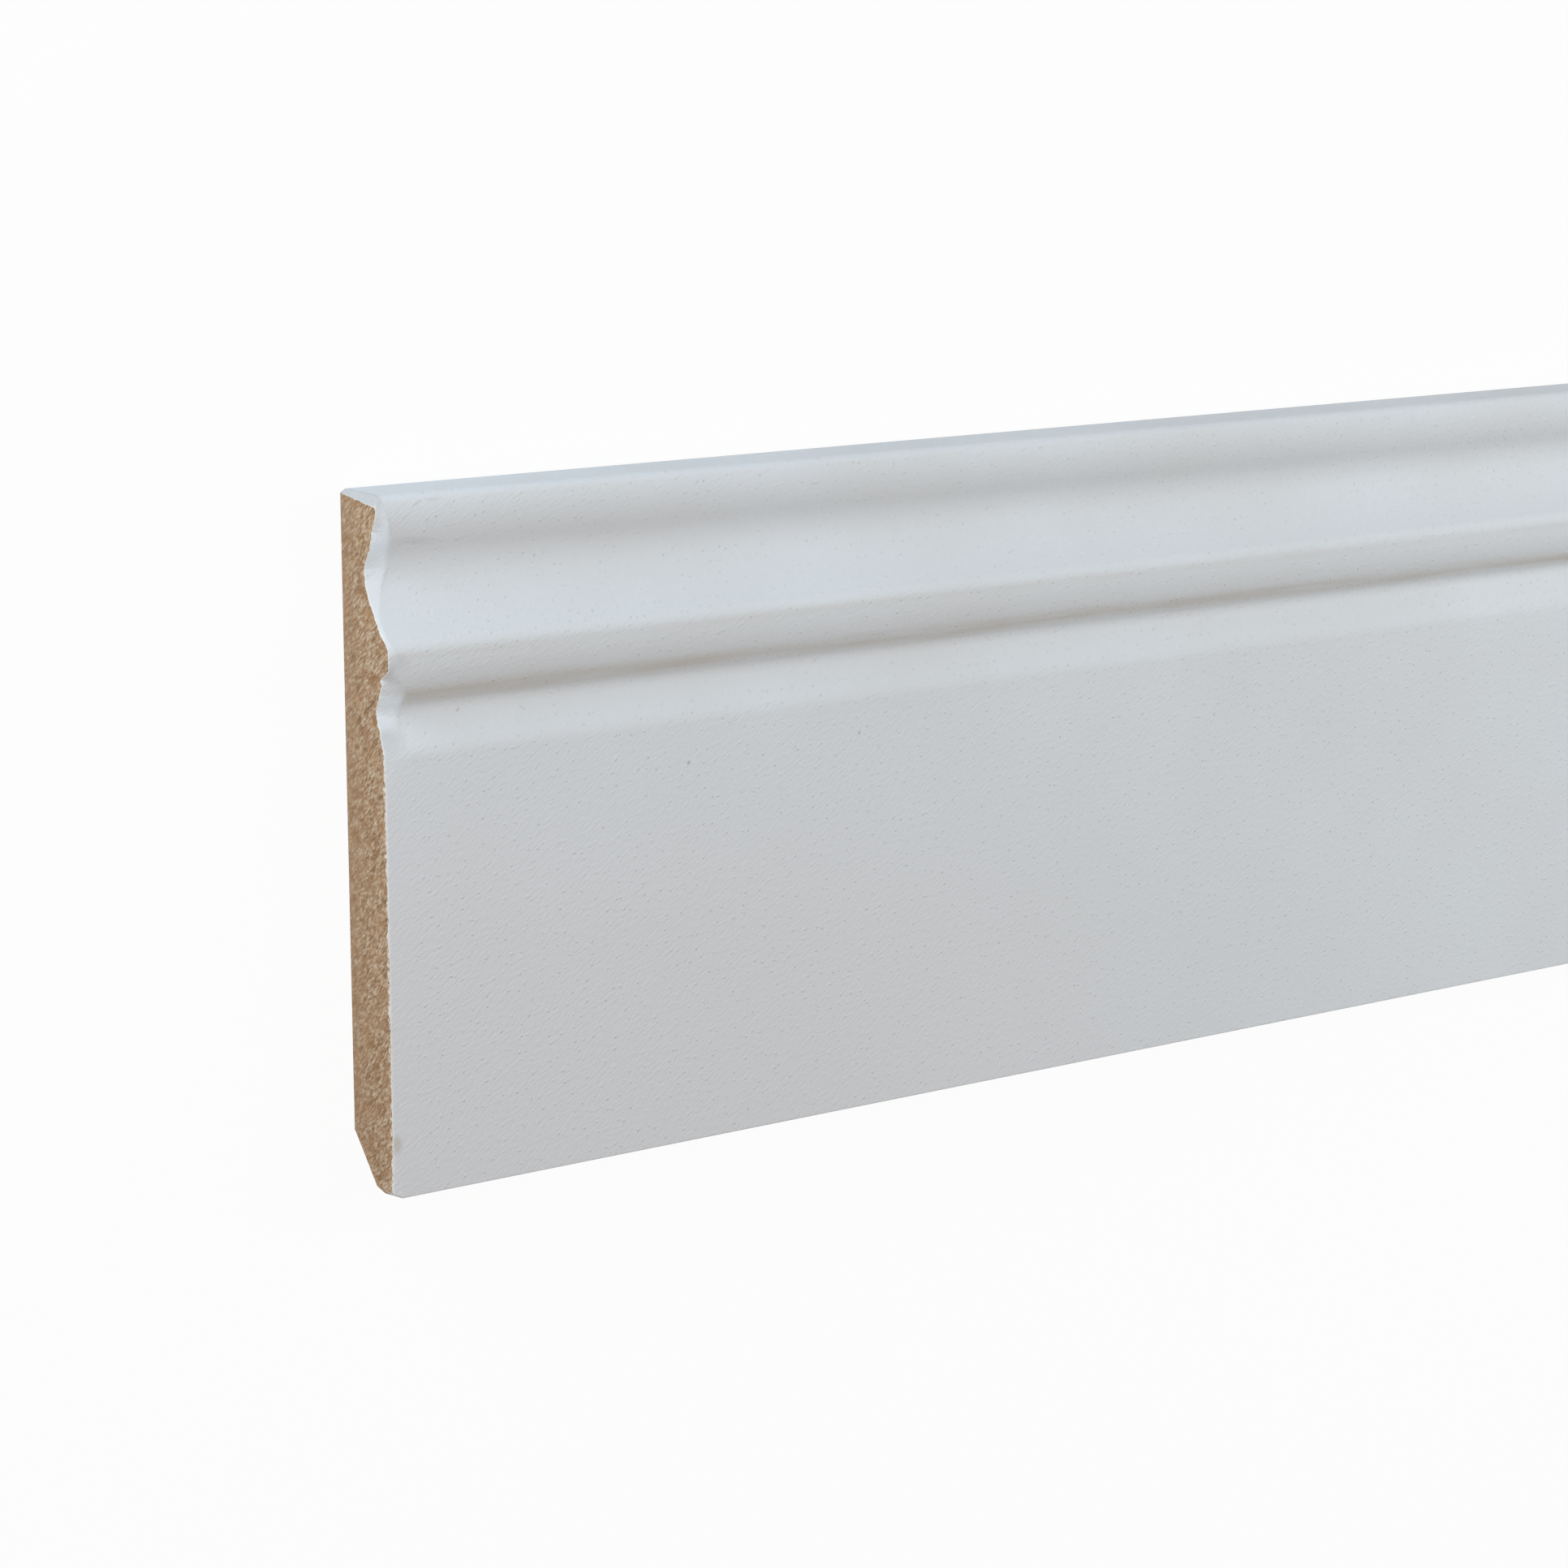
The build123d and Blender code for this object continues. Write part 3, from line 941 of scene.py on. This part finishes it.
# %% Lamps
def soft_lamp(name, place, target, size, power, colour):
    """An area lamp at a place, turned so that its face looks at the target (both in metres).

    Its own Z points away from the target, its width lies level, and its height is square to both.
    """
    lamp = bpy.data.lights.new(name, "AREA")
    lamp.shape, lamp.energy, lamp.color = "RECTANGLE", power, linear(colour)[:3]
    lamp.size, lamp.size_y = size
    away = np.array(place) - np.array(target)
    away = away / np.linalg.norm(away)
    side = np.cross((0, 0, 1), away)
    side = side / np.linalg.norm(side)
    turn = np.eye(4)
    turn[:3, :4] = np.stack([side, np.cross(away, side), away, np.array(place)], axis=1)
    lamp_object = bpy.data.objects.new(name, lamp)
    lamp_object.matrix_world = Matrix(turn.tolist())
    lamp_object.visible_camera = False
    bpy.context.scene.collection.objects.link(lamp_object)


for side_name, way in (("left", -1.0), ("right", 1.0)):
    key_place, key_target = (way * 1.57, 0.45, 0.15), (way * 1.1, 0.05, 0.01)
    fill_place, fill_target = (way * 1.9, 0.0, 0.8), (way * 1.1, 0.0, 0.01)
    soft_lamp(f"{side_name}_key", key_place, key_target, (0.35, 0.35), 2.1, "#DEF2FF")
    soft_lamp(f"{side_name}_fill", fill_place, fill_target, (0.5, 0.5), 4.1, "#FFF5EE")
soft_lamp("strip_over_the_face", (0.0, 0.25, 0.75), (0.0, 0.0, 0.01), (1.8, 0.4), 8.6, "#F8FEFF")
print("five soft lamps")

# %% Camera
picture_px, focal_px = 1932, 4900
yaw, pitch = np.radians(35.016), np.radians(11.8073)  # turned along the board, and tipped to its foot
# millimetres from the left end, from the foot and from the floor
camera_place = np.array([-369.157, 241.78, 677.224]) * MM + np.array(cad_low)
to_right = np.array([np.cos(yaw), 0, np.sin(yaw)])
ahead = np.array([np.cos(pitch) * np.sin(yaw), -np.sin(pitch), -np.cos(pitch) * np.cos(yaw)])
stand = np.eye(4)
stand[:3, :4] = np.stack([to_right, np.cross(to_right, ahead), -ahead, camera_place], axis=1)
lens = bpy.data.cameras.new("camera")
lens.sensor_fit, lens.sensor_width, lens.lens = "HORIZONTAL", 36, 36 * focal_px / picture_px
lens.clip_start, lens.clip_end = 0.05, 200
camera = bpy.data.objects.new("camera", lens)
camera.matrix_world = Matrix(stand.tolist())
bpy.context.scene.collection.objects.link(camera)
bpy.context.scene.camera = camera
bpy.context.scene.view_settings.view_transform = "Standard"
print(f"lens {lens.lens:.1f} mm at {np.round(camera_place, 3)}")
